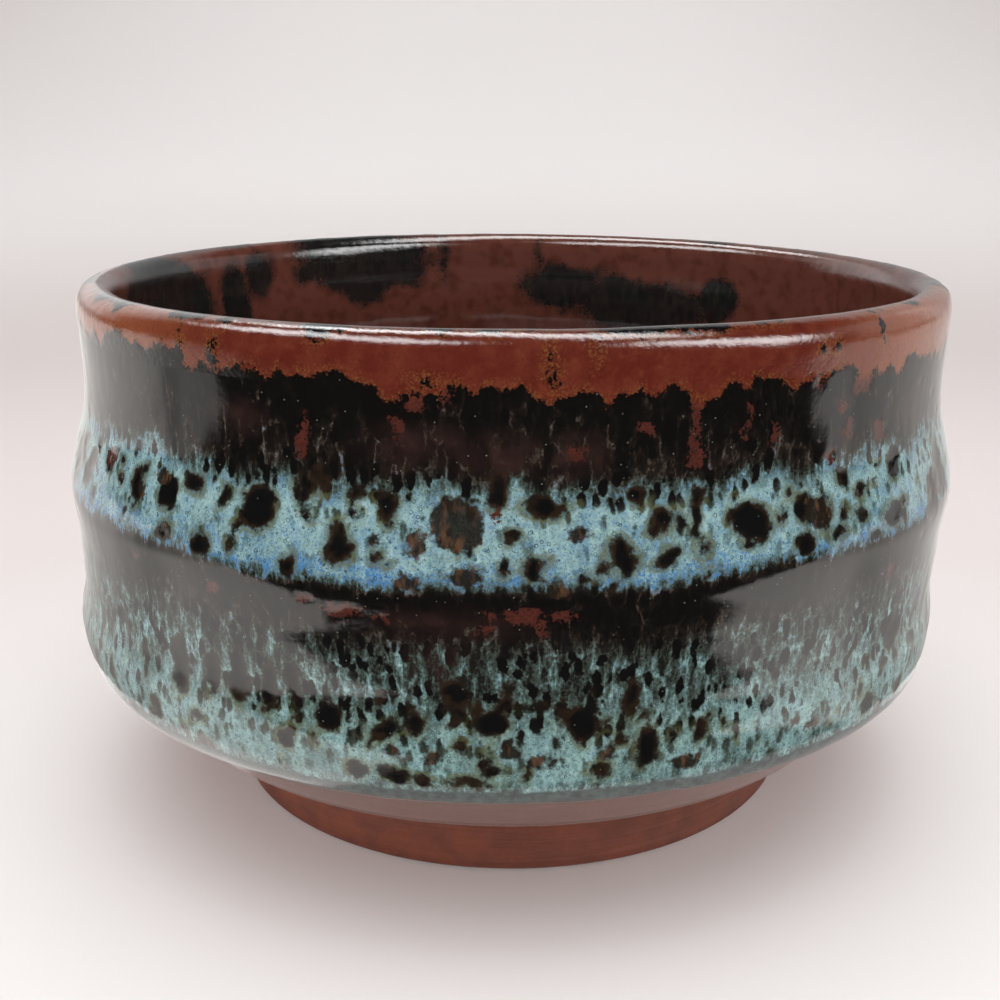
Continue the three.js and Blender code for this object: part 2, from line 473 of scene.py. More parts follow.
def shell(name, skin, back, normals, fields, material, pole=False):
    """A closed shell from a skin grid and a plain back grid. With a pole both end on the axis."""
    rows, back_rows = len(skin), len(back)
    skin_numbers = np.arange(rows * COLUMNS).reshape(rows, COLUMNS)
    back_numbers = np.arange(back_rows * COLUMNS).reshape(back_rows, COLUMNS) + rows * COLUMNS
    points = [skin.reshape(-1, 3), back.reshape(-1, 3)]
    faces = [grid_faces(skin_numbers), grid_faces(back_numbers, flip=True)]
    faces.append(quads(skin_numbers[0], back_numbers[0], flip=True))
    point_normals = [normals.reshape(-1, 3), -grid_normals(back).reshape(-1, 3)]
    values = {}
    for key, field in fields.items():
        values[key] = [field.ravel(), np.full(back_rows * COLUMNS, field.flat[0])]
    if pole:
        top = (rows + back_rows) * COLUMNS
        bottom = top + 1
        points.append(np.array([skin[-1].mean(0), back[-1].mean(0)]))
        point_normals.append(np.array([[0, 0, 1.0], [0, 0, -1.0]]))
        for key, field in fields.items():
            values[key].append(np.full(2, field[-1].mean()))
        last, last_back = skin_numbers[-1], back_numbers[-1]
        faces.append(np.stack([last, np.roll(last, -1), np.full(COLUMNS, top)], 1))
        faces.append(np.stack([np.roll(last_back, -1), last_back, np.full(COLUMNS, bottom)], 1))
    else:
        faces.append(quads(skin_numbers[-1], back_numbers[-1]))
    values = {key: np.concatenate(parts) for key, parts in values.items()}
    return new_piece(name, np.concatenate(points), faces, np.concatenate(point_normals), values, material)


def wall_grid(places, lift):
    """Points on the wall at lengths along it (rows, columns), lifted off the clay."""
    radius, height, out, up = WALL.at(places)
    azimuth = np.broadcast_to(AZIMUTH, places.shape)
    return round_points(radius + lift * out, height + lift * up, azimuth)


def throwing_rings(places, azimuth, amount):
    """Shallow rings left by the fingers, climbing slowly round the wall."""
    climb = places + azimuth / (2 * math.pi) * RING_PITCH
    wave = np.sin(climb * 2 * math.pi / RING_PITCH)
    wave = wave + 0.5 * np.sin(climb * 2 * math.pi / FINE_RING_PITCH + 1.3)
    return amount * wave


def ribbed(height):
    """Faint flats that the potter's rib left between the belly and the waist."""
    flats = 0.075 - 0.11 * np.tanh((height - 39.0) / 2.2) + 0.05 * np.tanh((height - 33.4) / 1.0)
    return flats - 0.045 * np.tanh((height - 30.5) / 1.5) + 0.03 * np.tanh((height - 44.0) / 1.5)


# ------------------------------
# Materials


def linear(red, green, blue):
    """A colour given as 0 to 255 on a screen, as Blender's linear values."""
    values = [c / 255 for c in (red, green, blue)]
    return tuple(v / 12.92 if v <= 0.04045 else ((v + 0.055) / 1.055) ** 2.4 for v in values) + (1.0,)


class Graph:
    """A small helper that builds a material's nodes."""

    def __init__(self, name):
        self.material = bpy.data.materials.new(name)
        self.material.use_nodes = True
        self.nodes = self.material.node_tree.nodes
        self.links = self.material.node_tree.links
        self.surface = self.nodes["Principled BSDF"]
        place = self.add("TexCoord")
        self.place = self.vector("SCALE", place.outputs["Object"], scale=1 / MM)

    def put(self, socket, value):
        """Link a socket to another node's output, or set its own value."""
        if isinstance(value, bpy.types.NodeSocket):
            self.links.new(value, socket)
        else:
            socket.default_value = value

    def add(self, kind, **inputs):
        """A new node with some of its inputs linked or set. An underscore stands for a space."""
        node = self.nodes.new("ShaderNode" + kind)
        for name, value in inputs.items():
            self.put(node.inputs[name.replace("_", " ")], value)
        return node

    def vector(self, operation, first, second=None, scale=None):
        node = self.add("VectorMath")
        node.operation = operation
        self.put(node.inputs[0], first)
        if second is not None:
            self.put(node.inputs[1], second)
        if scale is not None:
            node.inputs["Scale"].default_value = scale
        return node.outputs["Value" if operation == "LENGTH" else "Vector"]

    def math(self, operation, first, second=None, third=None, clamp=False):
        node = self.add("Math")
        node.operation = operation
        node.use_clamp = clamp
        for socket, value in zip(node.inputs, (first, second, third)):
            if value is not None:
                self.put(socket, value)
        return node.outputs[0]

    def times(self, first, second):
        return self.math("MULTIPLY", first, second)

    def varied(self, value, noise, amount):
        """The value, raised where a noise is above its middle and lowered where it is below."""
        return self.math("MULTIPLY_ADD", self.math("SUBTRACT", noise, 0.5), amount, value)

    def step(self, value, low, high, to_low=0.0, to_high=1.0):
        """A smooth rise from to_low where the value is low, to to_high where it is high."""
        node = self.add("MapRange", Value=value, From_Min=low, From_Max=high, To_Min=to_low, To_Max=to_high)
        node.interpolation_type = "SMOOTHSTEP"
        return node.outputs["Result"]

    def field(self, name):
        """One of the mesh's fields, by name."""
        node = self.add("Attribute")
        node.attribute_name = name
        return node.outputs["Fac"]

    def stretched(self, factors):
        return self.vector("MULTIPLY", self.place, factors)

    def warped(self, base, scale, amount):
        """The place pushed about by a noise, to make straight things wander."""
        noise = self.add("TexNoise", Vector=base, Scale=scale, Detail=2)
        centred = self.vector("SUBTRACT", noise.outputs["Color"], (0.5, 0.5, 0.5))
        return self.vector("ADD", base, self.vector("SCALE", centred, scale=amount))

    def noise(self, base, scale, detail=3.0, roughness=0.55):
        node = self.add("TexNoise", Vector=base, Scale=scale, Detail=detail, Roughness=roughness)
        return node.outputs["Fac"]

    def net(self, base, scale, width):
        """A net of thin lines round scattered cells, 1 on a line and 0 beside it."""
        node = self.add("TexVoronoi", Vector=base, Scale=scale)
        node.feature = "DISTANCE_TO_EDGE"
        return self.step(node.outputs["Distance"], 0.0, width, 1.0, 0.0)

    def cells(self, base, scale, smoothness=0.0):
        """The distance to the middle of the nearest of many scattered cells, in cell widths."""
        node = self.add("TexVoronoi", Vector=base, Scale=scale)
        if smoothness:
            node.feature = "SMOOTH_F1"
            node.inputs["Smoothness"].default_value = smoothness
        return node.outputs["Distance"]

    def ramp(self, value, stops):
        node = self.add("ValToRGB", Fac=value)
        elements = node.color_ramp.elements
        while len(elements) < len(stops):
            elements.new(0.5)
        for element, (position, colour) in zip(elements, stops):
            element.position = position
            element.color = linear(*colour)
        return node.outputs["Color"]

    def mix(self, share, first, second):
        """From the first colour at 0 to the second at 1, each a node's colour or a screen colour."""
        node = self.add("Mix")
        node.data_type = "RGBA"
        self.put(node.inputs["Factor"], share)
        for socket, colour in (("A", first), ("B", second)):
            self.put(node.inputs[socket], linear(*colour) if isinstance(colour, tuple) else colour)
        return node.outputs["Result"]

    def bump(self, height, strength, distance):
        node = self.add("Bump", Strength=strength, Distance=distance * MM, Height=height)
        self.links.new(node.outputs["Normal"], self.surface.inputs["Normal"])

    def coat(self, colour, roughness, ior=1.5):
        """Give the surface its colour, roughness and index of refraction."""
        self.put(self.surface.inputs["Base Color"], colour)
        self.put(self.surface.inputs["Roughness"], roughness)
        self.surface.inputs["IOR"].default_value = ior


# Colours of the glaze by how milky it is, in the belts and where the milk is thin over black.
MILK_COLOURS = [
    (0.00, (17, 17, 17)),
    (0.20, (22, 22, 21)),
    (0.34, (37, 40, 36)),
    (0.48, (62, 73, 67)),
    (0.60, (92, 115, 110)),
    (0.76, (138, 172, 168)),
    (1.00, (184, 217, 213)),
]
DUSK_COLOURS = [
    (0.00, (17, 16, 15)),
    (0.16, (22, 20, 18)),
    (0.30, (37, 31, 27)),
    (0.48, (66, 58, 51)),
    (0.62, (104, 106, 98)),
    (1.00, (150, 162, 154)),
]


def pale_phase(g, grain, mottle):
    """How milky the glaze is, from 0 for black to 1 for thick milk, and how far off a dark spot is."""
    tall = g.stretched((1.0, 1.0, 0.45))
    milk = g.field("milk")
    thin, full = 0.62, 0.9
    threads = g.net(g.warped(g.warped(tall, 0.5, 1.6), 1.8, 0.5), 0.5, 0.11)
    strands = g.net(g.warped(g.stretched((1.0, 1.0, 0.6)), 1.3, 0.9), 1.15, 0.16)
    shown = g.step(g.noise(tall, 0.4, 3.0, 0.6), 0.36, 0.58)
    drips = g.noise(g.stretched((1.0, 1.0, 0.25)), 1.1, 3.0, 0.6)
    clumps = g.noise(tall, 0.5, 5.0, 0.66)

    # fine threads and strands, then drips, clumps and grain
    level = g.math("MULTIPLY_ADD", milk, 1.12, -0.30)
    reach = g.times(g.step(milk, 0.3, 0.5, 0.24, 0.17), g.step(milk, thin, full, 1.0, 0.1))
    level = g.math("MULTIPLY_ADD", g.times(threads, shown), reach, level)
    level = g.math("MULTIPLY_ADD", strands, g.step(milk, thin, full, 0.09, 0.05), level)
    level = g.varied(level, drips, g.step(milk, thin, full, 0.9, 0.0))
    level = g.varied(level, clumps, g.step(milk, thin, full, 0.85, 0.55))
    level = g.varied(level, grain, g.step(milk, thin, full, 0.6, 0.34))

    # small dark cells and the dark spots
    away = g.cells(g.warped(g.stretched((1.0, 1.0, 0.5)), 0.9, 0.8), 0.75, 0.2)
    away = g.varied(away, mottle, 0.7)
    hole = g.times(g.step(away, 0.46, 0.22), g.field("holes"))
    level = g.math("MULTIPLY_ADD", hole, -0.7, level)
    spot = g.varied(g.field("dark"), mottle, 1.1)
    spot = g.varied(spot, grain, 0.4)
    level = g.times(level, g.step(spot, -0.45, 0.5))
    return level, spot


def glaze_material(name, peel):
    """Black glaze with a milky phase, dark spots and red-brown where thin. peel is its ripple."""
    g = Graph(name)
    grain = g.noise(g.place, 2.6, 4.0, 0.7)
    mottle = g.noise(g.place, 0.9, 3.0, 0.6)
    specks = g.noise(g.place, 3.4, 2.0, 0.5)
    patches = g.noise(g.place, 0.45, 2.0, 0.5)
    level, spot = pale_phase(g, grain, mottle)
    dusk = g.step(g.field("milk"), 0.6, 0.4)
    colour = g.mix(dusk, g.ramp(level, MILK_COLOURS), g.ramp(level, DUSK_COLOURS))
    thick = g.step(level, 0.45, 0.7)

    # blue where the pale phase is thick, in specks and along the belt's lower edge
    blue = g.math("ADD", g.step(specks, 0.45, 0.66, 0.15, 0.9), g.step(patches, 0.45, 0.7, 0.0, 0.6))
    blue = g.math("MULTIPLY", blue, g.field("blue"), clamp=True)
    colour = g.mix(g.times(blue, thick), colour, (74, 124, 172))

    # pinholes, bubbles with a dark ring and a painted highlight in the middle, and an olive tint
    fine = g.noise(g.place, 4.6, 2.0, 0.5)
    pinholes = g.times(g.step(fine, 0.58, 0.68, 0.0, 0.65), thick)
    colour = g.mix(pinholes, colour, (38, 58, 70))
    bubble = g.cells(g.place, 1.3)
    ring = g.step(g.math("ABSOLUTE", g.math("SUBTRACT", bubble, 0.25)), 0.08, 0.03, 0.0, 0.75)
    ring = g.times(ring, g.step(g.noise(g.place, 0.7, 2.0), 0.42, 0.56))
    colour = g.mix(g.times(ring, thick), colour, (40, 62, 74))
    # painted highlight: a light dot in the middle of each bubble
    painted_bubble_glint = g.times(g.step(bubble, 0.12, 0.06, 0.0, 0.4), thick)
    colour = g.mix(painted_bubble_glint, colour, (190, 214, 212))
    tint = g.times(g.step(patches, 0.52, 0.40, 0.0, 0.5), g.step(mottle, 0.5, 0.7))
    colour = g.mix(g.times(tint, thick), colour, (120, 126, 84))

    # brown haze in the black, and a few painted glints as bright specks
    warm = g.times(g.field("warm"), g.step(patches, 0.35, 0.65, 0.3, 0.9))
    colour = g.mix(g.times(warm, g.step(level, 0.5, 0.25)), colour, (56, 38, 35))
    # painted glints: tiny pale specks for light catching small bubbles
    bright = g.step(g.cells(g.place, 0.8), 0.07, 0.04, 0.0, 0.6)
    colour = g.mix(bright, colour, (150, 160, 150))

    # an olive and brown halo round each dark spot, and the brown spots
    halo = g.times(g.step(spot, 0.85, 0.45), g.step(spot, 0.1, 0.4))
    halo = g.times(halo, g.step(patches, 0.35, 0.6, 0.15, 0.75))
    halo = g.times(halo, g.step(g.field("milk"), 0.7, 0.9))
    colour = g.mix(halo, colour, (92, 96, 60))
    rust = g.times(g.step(spot, 0.35, 0.1), g.step(spot, -0.5, -0.1))
    colour = g.mix(g.times(rust, g.step(patches, 0.4, 0.6, 0.05, 0.5)), colour, (54, 40, 26))
    brown_spot = g.varied(g.field("brown"), mottle, 1.6)
    brown_spot = g.varied(brown_spot, grain, 0.6)
    streaks = g.noise(g.stretched((1.0, 1.0, 0.4)), 1.1, 3.0, 0.6)
    brown = g.mix(g.step(streaks, 0.45, 0.70), (34, 30, 24), (88, 62, 43))
    colour = g.mix(g.step(brown_spot, 0.5, -0.05, 0.0, 0.97), colour, brown)

    # a smooth dark roll at the lower edge of the thick glaze
    roll = g.mix(g.step(mottle, 0.35, 0.7), (50, 58, 57), (72, 84, 81))
    at_roll = g.varied(g.field("fringe"), mottle, 1.2)
    colour = g.mix(g.step(at_roll, 0.3, 0.8), colour, roll)

    # red-brown where the glaze is thin
    red = g.varied(g.field("red"), mottle, 2.2)
    red = g.varied(red, grain, 2.4)
    inside = g.field("inside")
    deep = g.mix(g.step(patches, 0.35, 0.7), (92, 37, 28), (103, 47, 34))
    # painted sheen: a lighter, more orange red-brown towards the sides, where a window's light spreads on
    # the lip
    deep = g.mix(g.field("painted_sheen"), deep, (146, 84, 56))
    deep = g.mix(g.step(grain, 0.45, 0.75, 0.0, 0.45), deep, (68, 25, 20))
    deep = g.mix(g.step(mottle, 0.55, 0.75, 0.0, 0.35), deep, (122, 62, 40))
    deep = g.mix(g.field("lip"), g.mix(g.step(grain, 0.4, 0.7), (84, 44, 36), (60, 32, 27)), deep)
    edge = g.times(g.step(red, 1.2, 0.1, 0.0, 0.7), g.step(specks, 0.46, 0.6))
    deep = g.mix(g.times(edge, g.field("lip")), deep, (124, 82, 44))
    deep = g.mix(inside, deep, g.mix(g.step(patches, 0.4, 0.75), (102, 60, 50), (84, 46, 37)))
    streaked = g.mix(g.step(streaks, 0.4, 0.65), (24, 26, 26), (40, 38, 35))
    colour = g.mix(inside, colour, streaked)
    softness = g.math("MULTIPLY_ADD", inside, 0.75, 0.15)
    colour = g.mix(g.step(red, g.times(softness, -1.0), softness), colour, deep)

    g.coat(colour, g.step(grain, 0.3, 0.8, 0.055, 0.12), ior=1.65)
    g.bump(g.math("ADD", mottle, g.times(grain, 0.5)), peel, 0.05)
    return g.material


def base_glaze_material():
    """The thin tan coat, with the turning lines of the clay showing through it."""
    g = Graph("thin_tan_glaze")
    rings = g.noise(g.stretched((0.01, 0.01, 0.8)), 1.0, 1.0, 0.5)
    mottle = g.noise(g.place, 0.8, 3.0, 0.6)
    grain = g.noise(g.place, 3.0, 3.0, 0.6)
    colour = g.mix(g.step(rings, 0.35, 0.65), (104, 66, 54), (112, 73, 60))
    colour = g.mix(g.step(mottle, 0.45, 0.75, 0.0, 0.3), colour, (104, 72, 62))
    colour = g.mix(g.step(grain, 0.62, 0.75, 0.0, 0.2), colour, (150, 116, 102))
    g.coat(colour, g.step(grain, 0.3, 0.8, 0.12, 0.22))
    g.bump(rings, 0.05, 0.05)
    return g.material


def clay_material(name):
    """Bare red clay with fine turning lines and grit."""
    g = Graph(name)
    rings = g.noise(g.stretched((0.04, 0.04, 2.8)), 1.0, 4.0, 0.65)
    mottle = g.noise(g.place, 0.25, 4.0, 0.6)
    grit = g.noise(g.place, 5.0, 3.0, 0.7)
    colour = g.mix(g.step(mottle, 0.35, 0.65), (122, 64, 46), (103, 55, 41))
    colour = g.mix(g.step(rings, 0.4, 0.7, 0.0, 0.3), colour, (138, 84, 61))
    colour = g.mix(g.step(grit, 0.6, 0.72, 0.0, 0.5), colour, (70, 38, 30))
    g.coat(colour, g.step(grit, 0.3, 0.7, 0.55, 0.8))
    g.bump(g.math("ADD", rings, g.times(grit, 0.5)), 0.5, 0.12)
    return g.material


# ------------------------------
# The bowl's pieces


def rows_between(first, last, spacing):
    """Shares from 0 to 1, spaced to suit the length between two places on the wall."""
    return np.linspace(0, 1, max(2, int(round((last - first) / spacing)) + 1))


def edge_wave(azimuth):
    """How far the thick glaze ran below or short of its line."""
    line = round_points(59.0, 20.0, azimuth)
    return 0.55 * layered_noise(line, 11.0, 61, layers=2) + 0.45 * layered_noise(line, 3.0, 62)


def glaze_coats():
    """The outer, lip and inner glaze: one smooth skin cut into three shells."""
    line, start = WALL.at_key[GLAZE_LINE], WALL.at_key[LIP_START]
    end, middle = WALL.at_key[LIP_END], WALL.length[-1]
    edge = line + 0.5 + edge_wave(AZIMUTH)
    outer_share = rows_between(line, start, OUTER_SPACING)[:, None]
    outer_places = edge + (start - edge) * outer_share
    lip_share = rows_between(start, end, LIP_SPACING)[:, None]
    lip_places = start + (end - start) * lip_share + 0 * AZIMUTH
    inner_share = rows_between(end, middle, INNER_SPACING)[:, None]
    inner_places = end + (middle - POLE_GAP - end) * inner_share + 0 * AZIMUTH
    places = np.concatenate([outer_places, lip_places[1:], inner_places[1:]])
    cut = (len(outer_places) - 1, len(outer_places) + len(lip_places) - 2)

    azimuth = np.broadcast_to(AZIMUTH, places.shape)
    radius, height, _, _ = WALL.at(places)
    safe_radius = np.maximum(radius, 1.0)
    points = round_points(radius, height, azimuth)
    outside = places < 0.5 * (start + end)
    from_edge = places - edge
    crest = WALL.at_key[LIP_START + 1 + LIP_STEPS // 2]
    fields = glaze_fields(azimuth, height, safe_radius, points, outside, from_edge, places - crest)

    # the rolled edge, the potter's rings and an uneven coat, then the dents of the marks and the beads
    roll = np.sqrt(np.clip(1 - (1 - np.clip(from_edge / ROLL_WIDTH, 0, 1)) ** 2, 0, 1))
    thick = OUTER_COAT + (LIP_COAT - BASE_COAT - OUTER_COAT) * smooth(line, start, places)
    bead = ROLL_BEAD * np.exp(-(((from_edge - 1.6) / 1.4) ** 2))
    outer_lift = BASE_COAT + roll * (thick + bead)
    lift = np.where(places <= start, outer_lift, LIP_COAT)
    in_reach = smooth(line, line + 3, places) * smooth(middle, middle - 12, places)
    lift = lift + throwing_rings(places, azimuth, np.where(outside, 0.002, 0.012)) * in_reach
    lift = lift + np.where(outside, ribbed(height), 0.0)
    lift = lift + np.where(outside, 0.04, 0.10) * layered_noise(points * [1, 1, 0.6], 8.0, 71) * in_reach
    runs = layered_noise(points * [1, 1, 0.25], 1.8, 72) * in_reach
    lift = lift + 0.03 * runs * np.where(outside, 1, 0.4)
    lift = lift - DARK_DENT * smooth(0.4, -1.0, fields["dark"])
    lift = lift - BROWN_DENT * smooth(0.3, -0.6, fields["brown"])
    lift = lift - RED_DENT * np.where(outside, smooth(-0.3, 0.4, fields["red"]), 0)
    beads = distance_to(GLAZE_BEADS, azimuth, height, safe_radius)
    lift = lift + GLASS_BEAD_HEIGHT * np.sqrt(smooth(0.05, -0.6, beads))

    skin = hand_made(wall_grid(places, lift))
    normals = grid_normals(skin)
    coats = (
        ("outer_glaze", "turquoise_black_glaze", 0, cut[0], BASE_COAT, 0.2),
        ("lip_glaze", "red_brown_lip_glaze", cut[0], cut[1], 0.0, 1.0),
        ("inner_glaze", "red_brown_liner_glaze", cut[1], len(places) - 1, 0.0, 0.2),
    )
    for node, slot, first, last, back_lift, peel in coats:
        rows = slice(first, last + 1)
        back_places = places[np.linspace(first, last, BACK_ROWS).round().astype(int)]
        back = hand_made(wall_grid(back_places, back_lift))
        own = {key: field[rows] for key, field in fields.items()}
        material = glaze_material(slot, peel)
        pole = node == "inner_glaze"
        piece = shell(node + "_coat", skin[rows], back, normals[rows], own, material, pole)
        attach(piece, "root")
        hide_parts(node)


def base_glaze_coat():
    """The tan band between the ridge and the thick glaze, running on under it."""
    top = WALL.at_key[LIP_START]
    shown = WALL.at_key[GLAZE_LINE] + 2.0
    shown_rows = np.linspace(0, shown, SHOWN_BASE_ROWS)
    hidden_rows = np.linspace(shown, top, HIDDEN_BASE_ROWS)[1:]
    places = np.concatenate([shown_rows, hidden_rows])[:, None] + 0 * AZIMUTH
    azimuth = np.broadcast_to(AZIMUTH, places.shape)
    radius, height, _, _ = WALL.at(places)
    points = round_points(radius, height, azimuth)
    lift = BASE_COAT * np.sqrt(smooth(-0.4, 1.2, places)) - BASE_SINK * smooth(shown, shown + 2, places)
    visible = smooth(shown + 0.5, shown - 0.5, places)
    lift = lift + visible * 0.02 * layered_noise(points, 4.0, 81)
    lift = lift + 0.10 * np.exp(-(((places - 0.9) / 0.6) ** 2))
    skin = hand_made(wall_grid(places, lift))
    back_rows = np.linspace(0, len(places) - 1, BACK_ROWS).round().astype(int)
    back = hand_made(wall_grid(places[back_rows], 0.0))
    piece = shell("base_glaze_coat", skin, back, grid_normals(skin), {}, base_glaze_material())
    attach(piece, "root")
    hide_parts("base_glaze")


def lathe(name, outline, spacing, relief, material, pole):
    """A clay piece turned from an outline, with relief(place, points) pushed along its normal."""
    outline = np.array(outline, float)
    lengths = np.concatenate([[0], np.cumsum(np.linalg.norm(np.diff(outline, axis=0), axis=1))])
    count = int(lengths[-1] / spacing) + 1
    places = np.linspace(0, lengths[-1], count)
    radius, height = (np.interp(places, lengths, outline[:, i]) for i in (0, 1))
    window = np.array([1, 2, 1]) / 4  # rounds the outline's corners a little
    for _ in range(2):
        radius[1:-1] = np.convolve(radius, window, "valid")
        height[1:-1] = np.convolve(height, window, "valid")
    points = round_points(radius[:, None], height[:, None] + 0 * AZIMUTH, AZIMUTH)
    normals = grid_normals(points)
    points = hand_made(points + normals * relief(places[:, None], points)[..., None])
    numbers = np.arange(count * COLUMNS).reshape(count, COLUMNS)
    faces = [grid_faces(numbers)]
    all_points, all_normals = [points.reshape(-1, 3)], [grid_normals(points).reshape(-1, 3)]
    if pole:
        all_points.append(np.array([points[0].mean(0), points[-1].mean(0)]))
        all_normals.append(np.array([[0, 0, -1.0], [0, 0, 1.0]]))
        first, last = numbers[0], numbers[-1]
        faces.append(np.stack([np.roll(first, -1), first, np.full(COLUMNS, numbers.size)], 1))
        faces.append(np.stack([last, np.roll(last, -1), np.full(COLUMNS, numbers.size + 1)], 1))
    else:
        faces.append(quads(numbers[-1], numbers[0]))
    normals = np.concatenate(all_normals)
    return new_piece(name, np.concatenate(all_points), faces, normals, {}, material)


def foot_ring():
    """The bare ring that the bowl stands on, with fine turning lines."""

    def relief(places, points):
        flat = smooth(0.4, 1.2, points[..., 2])
        rings = 0.05 * np.sin(points[..., 2] * 5.1) + 0.03 * np.sin(points[..., 2] * 11.0)
        return flat * (rings + 0.12 * layered_noise(points * [1, 1, 2], 5.0, 91)) - 0.05 * (1 - flat)

    outline = [
        (FOOT_INNER - FOOT_TAPER, FOOT_HEIGHT),
        (FOOT_INNER, 0.7),
        (FOOT_INNER + 0.5, 0.02),
        (FOOT_OUTER - 0.3, 0.02),
        (FOOT_OUTER + 0.1, 0.4),
        (FOOT_OUTER + 0.4, 3.0),
        (FOOT_OUTER + FOOT_FLARE, FOOT_HEIGHT),
        (FOOT_INNER - FOOT_TAPER + 0.4, FOOT_HEIGHT),
    ]
    piece = lathe("foot_ring_clay", outline, FOOT_SPACING, relief, clay_material("foot_clay"), pole=False)
    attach(piece, "root")
    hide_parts("foot_ring")


def clay_bowl():
    """The clay under the coats, with the spiral of the turning tool beneath its floor."""

    def relief(places, points):
        from_axis = np.hypot(points[..., 0], points[..., 1])
        under = smooth(8.6, 7.6, points[..., 2]) * smooth(36, 32, from_axis)
        spiral = from_axis + np.arctan2(points[..., 0], points[..., 1]) / math.pi
        return under * (0.10 * np.sin(spiral * 2.6) + 0.10 * layered_noise(points, 4.0, 95))

    ridge_radius, ridge_height = OUTSIDE[0]
    inner_wall = WALL.line[WALL.length >= WALL.at_key[0]]
    outline = [
        (0.8, FOOT_HEIGHT + 0.7),
        (FOOT_INNER - FOOT_TAPER, FOOT_HEIGHT),
        (FOOT_OUTER + FOOT_FLARE, FOOT_HEIGHT),
        (ridge_radius - 0.7, ridge_height - 0.8),
    ]
    outline += [tuple(p) for p in inner_wall[:-1:12]] + [(0.8, INSIDE[-1][1])]
    piece = lathe("bowl_clay", outline, CLAY_SPACING, relief, clay_material("bare_clay"), pole=True)
    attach(piece, "root")
    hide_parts("clay_bowl")


# ------------------------------
# Studio


def stage_dish(name, profile, material, glossy):
    """A round stage surface turned from [radius, height] points in metres."""
    segments = 96
    angles = 2 * math.pi * np.arange(segments) / segments
    points, faces = [], []
    for radius, height in profile:
        points += [(radius * math.cos(a), radius * math.sin(a), height) for a in angles]
    for row in range(len(profile) - 1):
        for i in range(segments):
            j = (i + 1) % segments
            a, b = row * segments, (row + 1) * segments
            faces.append((a + i, b + i, b + j, a + j))
    if profile[0][0] < 0.01:
        faces.append(tuple(range(segments)))
    mesh = bpy.data.meshes.new(name)
    mesh.from_pydata(points, [], faces)
    mesh.polygons.foreach_set("use_smooth", np.ones(len(faces), bool))
    mesh.materials.append(material)
    dish = bpy.data.objects.new(name, mesh)
    bpy.context.scene.collection.objects.link(dish)
    dish.visible_glossy = glossy


def painted_light_paper_material():
    """Matt pale paper with painted light: a painted pool of light round the bowl, painted falloff farther
    off and painted shade out to the sides of the wall.
    """
    g = Graph("paper_with_painted_light")
    split = g.add("SeparateXYZ", Vector=g.place)
    aside = g.step(g.math("ABSOLUTE", split.outputs["X"]), 100.0, 1200.0)
    away = g.vector("LENGTH", g.vector("ADD", g.place, (0.0, 60.0, 0.0)))
    # painted light: the paper is lightest round the bowl, with painted shade farther off and out to the
    # sides of the wall
    floor = g.mix(g.step(away, 60.0, 190.0), (254, 253, 252), (231, 226, 224))
    floor = g.mix(g.step(away, 150.0, 450.0), floor, (211, 206, 204))
    wall = g.mix(aside, (239, 240, 239), (190, 181, 181))
    painted_light_tone = g.mix(g.step(away, 450.0, 1100.0), floor, wall)
    cloud = g.noise(g.place, 0.004, 1.0)
    painted_light_tone = g.mix(g.times(cloud, 0.03), painted_light_tone, (255, 255, 255))
    g.coat(painted_light_tone, 1.0)
    g.surface.inputs["Specular IOR Level"].default_value = 0.0
    return g.material


def studio_floor():
    """Pale paper that curves up all round. Only the part close to the bowl shows in its gloss."""
    paper = painted_light_paper_material()
    stage_dish("studio_floor", [(0.001, 0.0), (NEAR_FLOOR, 0.0)], paper, glossy=True)
    profile = [(NEAR_FLOOR, 0.0)]
    for angle in np.radians(np.arange(0, 91, 3)):
        radius = SWEEP_WALL - SWEEP_BEND + SWEEP_BEND * math.sin(angle)
        profile.append((radius, SWEEP_BEND - SWEEP_BEND * math.cos(angle)))
    profile.append((SWEEP_WALL, 4.0))
    stage_dish("studio_sweep", profile, paper, glossy=False)


def area_light(name, place, target, size, radiance, diffuse=True):
    """A rectangle of light with an even radiance, out of the camera's sight."""
    lamp = bpy.data.lights.new(name, "AREA")
    lamp.shape = "RECTANGLE"
    lamp.size, lamp.size_y = size
    lamp.energy = radiance * math.pi * size[0] * size[1]
    holder = bpy.data.objects.new(name, lamp)
    bpy.context.scene.collection.objects.link(holder)
    holder.location = place
    direction = Vector(target) - Vector(place)
    holder.rotation_euler = direction.to_track_quat("-Z", "Y").to_euler()
    holder.visible_camera = False
    holder.visible_diffuse = diffuse
    return holder


def soft_light(name, place, target, size, radiance):
    """A broad light that fills in shade without a mirror image in the glaze."""
    area_light(name, place, target, size, radiance).visible_glossy = False


def window(name, first_end, second_end, width):
    """A long window between two points, facing the bowl, that only shows as a mirror image in the glaze."""
    first, second = Vector(first_end), Vector(second_end)
    middle = (first + second) / 2
    size = ((second - first).length, width)
    holder = area_light(name, middle, BOWL_MIDDLE, size, WINDOW_RADIANCE, diffuse=False)
    away = (middle - Vector(BOWL_MIDDLE)).normalized()
    along = (second - first).normalized()
    across = away.cross(along).normalized()
    along = across.cross(away)
    turn = Matrix((along, across, away)).transposed()
    holder.rotation_euler = turn.to_euler()


